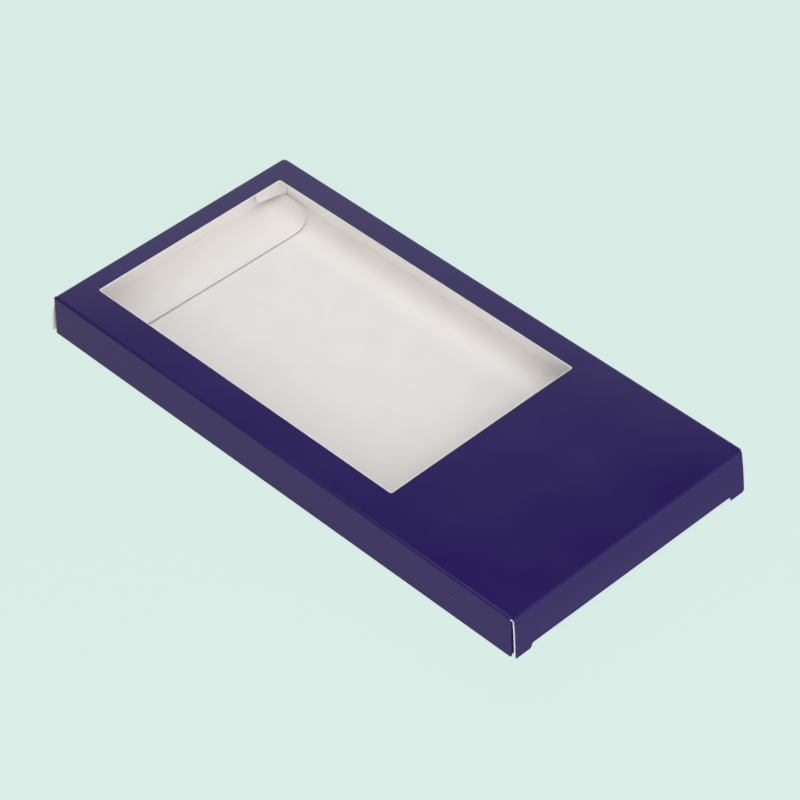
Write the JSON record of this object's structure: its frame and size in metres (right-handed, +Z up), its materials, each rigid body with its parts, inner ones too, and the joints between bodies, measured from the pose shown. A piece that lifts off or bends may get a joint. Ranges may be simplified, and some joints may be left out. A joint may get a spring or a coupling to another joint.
{
  "type": "chocolate box",
  "caption": "Flat folding carton for a bar of chocolate, with a film window in its top panel and tuck-in ends.",
  "frame": {"origin": "on the table under the middle of the box", "axes": "+X along the box towards the plain end of its top, +Y across it to the back, +Z up"},
  "size_m": [0.1628, 0.08, 0.0122],
  "materials": {
    "printed_board": "white folding boxboard, printed deep violet and matt laminated outside",
    "clear_film": "clear polyester film",
    "glue": "dried white dispersion glue"
  },
  "bodies": {
    "carton": {"top_panel": "printed_board", "bottom_panel": "printed_board", "front_side_panel": "printed_board", "back_side_panel": "printed_board", "glue_flap": "printed_board", "seam_glue": "glue", "window_film": "clear_film", "film_glue": "glue"},
    "right_closure": {"right_closure_panel": "printed_board"},
    "right_tuck": {"right_tuck_flap": "printed_board"},
    "right_front_dust": {"right_front_dust_flap": "printed_board"},
    "right_back_dust": {"right_back_dust_flap": "printed_board"},
    "left_closure": {"left_closure_panel": "printed_board"},
    "left_tuck": {"left_tuck_flap": "printed_board"},
    "left_front_dust": {"left_front_dust_flap": "printed_board"},
    "left_back_dust": {"left_back_dust_flap": "printed_board"}
  },
  "joints": [
    {"name": "right_closure_crease", "type": "hinge", "parent": "carton", "child": "right_closure", "pos_m": [0.07977, 0, 0.01197], "axis": [0, -1, 0], "range_deg": [0, 110], "deforming": ["right_tuck_flap"]},
    {"name": "right_tuck_crease", "type": "hinge", "parent": "right_closure", "child": "right_tuck", "pos_m": [0.08102, 0, 0.00107], "axis": [0, -1, 0], "range_deg": [0, 46], "deforming": ["right_tuck_flap"]},
    {"name": "right_front_dust_crease", "type": "hinge", "parent": "carton", "child": "right_front_dust", "pos_m": [0.07927, -0.03977, 0.0061], "axis": [0, 0, 1], "range_deg": [0, 60]},
    {"name": "right_back_dust_crease", "type": "hinge", "parent": "carton", "child": "right_back_dust", "pos_m": [0.07927, 0.03977, 0.0061], "axis": [0, 0, -1], "range_deg": [0, 60]},
    {"name": "left_closure_crease", "type": "hinge", "parent": "carton", "child": "left_closure", "pos_m": [-0.07977, 0, 0.01197], "axis": [0, 1, 0], "range_deg": [0, 110], "deforming": ["left_tuck_flap"]},
    {"name": "left_tuck_crease", "type": "hinge", "parent": "left_closure", "child": "left_tuck", "pos_m": [-0.08102, 0, 0.00107], "axis": [0, 1, 0], "range_deg": [0, 46], "deforming": ["left_tuck_flap"]},
    {"name": "left_front_dust_crease", "type": "hinge", "parent": "carton", "child": "left_front_dust", "pos_m": [-0.07927, -0.03977, 0.0061], "axis": [0, 0, -1], "range_deg": [0, 60]},
    {"name": "left_back_dust_crease", "type": "hinge", "parent": "carton", "child": "left_back_dust", "pos_m": [-0.07927, 0.03977, 0.0061], "axis": [0, 0, 1], "range_deg": [0, 60]}
  ],
  "couplings": [
    {"joint": "right_tuck_crease", "follows": "right_closure_crease", "ratio": 0.4},
    {"joint": "left_tuck_crease", "follows": "left_closure_crease", "ratio": 0.4}
  ]
}
